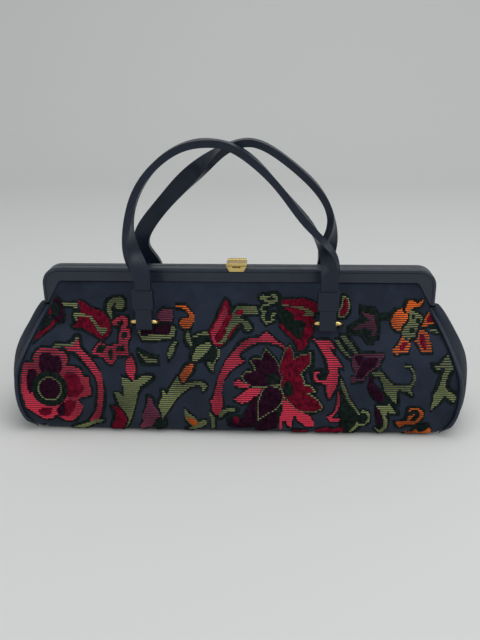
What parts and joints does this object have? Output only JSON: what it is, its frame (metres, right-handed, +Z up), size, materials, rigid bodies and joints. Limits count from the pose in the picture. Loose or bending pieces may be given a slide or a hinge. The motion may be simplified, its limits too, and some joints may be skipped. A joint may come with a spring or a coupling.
{
  "type": "frame handbag",
  "caption": "Long frame handbag in flower-pattern pile tapestry, with a leather-covered hinged frame, a lift clasp and two strap handles.",
  "frame": {"origin": "middle of the flat base, on the surface the bag stands on", "axes": "+X to the bag's right seen from the front (the long way), +Y to the back, +Z up"},
  "size_m": [0.3798, 0.0934, 0.2294],
  "materials": {
    "brass": "polished",
    "coral": "uncut loops",
    "crimson": "cut pile",
    "dark_green": "cut pile",
    "fibreboard": "pressed board",
    "gusset_cloth": "plain",
    "leather": "fine grain, semi-gloss",
    "lining_cloth": "satin",
    "mauve": "uncut loops",
    "navy_cloth": "ribbed tapestry",
    "olive": "uncut loops",
    "orange": "uncut loops",
    "plum": "cut pile",
    "steel": "zinc plated"
  },
  "bodies": {
    "bag_body": {"back_coral_pattern": "coral", "back_crimson_pattern": "crimson", "back_dark_green_pattern": "dark_green", "back_left_piping": "leather", "back_left_plate": "steel", "back_left_staple": "brass", "back_mauve_pattern": "mauve", "back_olive_pattern": "olive", "back_orange_pattern": "orange", "back_plum_pattern": "plum", "back_right_piping": "leather", "back_right_plate": "steel", "back_right_staple": "brass", "bottom_board": "fibreboard", "front_coral_pattern": "coral", "front_crimson_pattern": "crimson", "front_dark_green_pattern": "dark_green", "front_left_piping": "leather", "front_left_plate": "steel", "front_left_staple": "brass", "front_mauve_pattern": "mauve", "front_olive_pattern": "olive", "front_orange_pattern": "orange", "front_plum_pattern": "plum", "front_right_piping": "leather", "front_right_plate": "steel", "front_right_staple": "brass", "left_gusset": "gusset_cloth", "left_hinge_rivet": "steel", "lining": "lining_cloth", "right_gusset": "gusset_cloth", "right_hinge_rivet": "steel", "tapestry": "navy_cloth"},
    "front_frame": {"front_rail": "steel", "front_frame_leather": "leather", "clasp_catch": "brass"},
    "back_frame": {"back_rail": "steel", "back_frame_leather": "leather", "clasp_base": "brass", "clasp_pin": "brass"},
    "clasp_lever": {"clasp_lever": "brass"},
    "front_handle": {"front_handle_strap": "leather", "front_left_keeper": "leather", "front_right_keeper": "leather"},
    "back_handle": {"back_handle_strap": "leather", "back_left_keeper": "leather", "back_right_keeper": "leather"}
  },
  "joints": [
    {"name": "front_frame_hinge", "type": "hinge", "parent": "bag_body", "child": "front_frame", "pos_m": [0, 0, 0.103], "axis": [1, 0, 0], "range_deg": [0, 45], "deforming": ["tapestry", "lining", "left_gusset", "right_gusset", "back_left_piping", "back_right_piping", "front_left_piping", "front_right_piping", "back_coral_pattern", "back_crimson_pattern", "back_dark_green_pattern", "back_mauve_pattern", "back_olive_pattern", "back_orange_pattern", "back_plum_pattern", "front_coral_pattern", "front_crimson_pattern", "front_dark_green_pattern", "front_mauve_pattern", "front_olive_pattern", "front_orange_pattern", "front_plum_pattern"]},
    {"name": "back_frame_hinge", "type": "hinge", "parent": "bag_body", "child": "back_frame", "pos_m": [0, 0, 0.103], "axis": [-1, 0, 0], "range_deg": [0, 45]},
    {"name": "clasp_lever_pivot", "type": "hinge", "parent": "back_frame", "child": "clasp_lever", "pos_m": [0, 0.00465, 0.1326], "axis": [-1, 0, 0], "range_deg": [0, 75]},
    {"name": "front_handle_swing", "type": "hinge", "parent": "bag_body", "child": "front_handle", "pos_m": [0, -0.03038, 0.09226], "axis": [1, 0, 0], "range_deg": [0, 135]},
    {"name": "back_handle_swing", "type": "hinge", "parent": "bag_body", "child": "back_handle", "pos_m": [0, 0.03038, 0.09226], "axis": [-1, 0, 0], "range_deg": [0, 135]}
  ],
  "couplings": [
    {"joint": "back_frame_hinge", "follows": "front_frame_hinge", "ratio": 1}
  ]
}
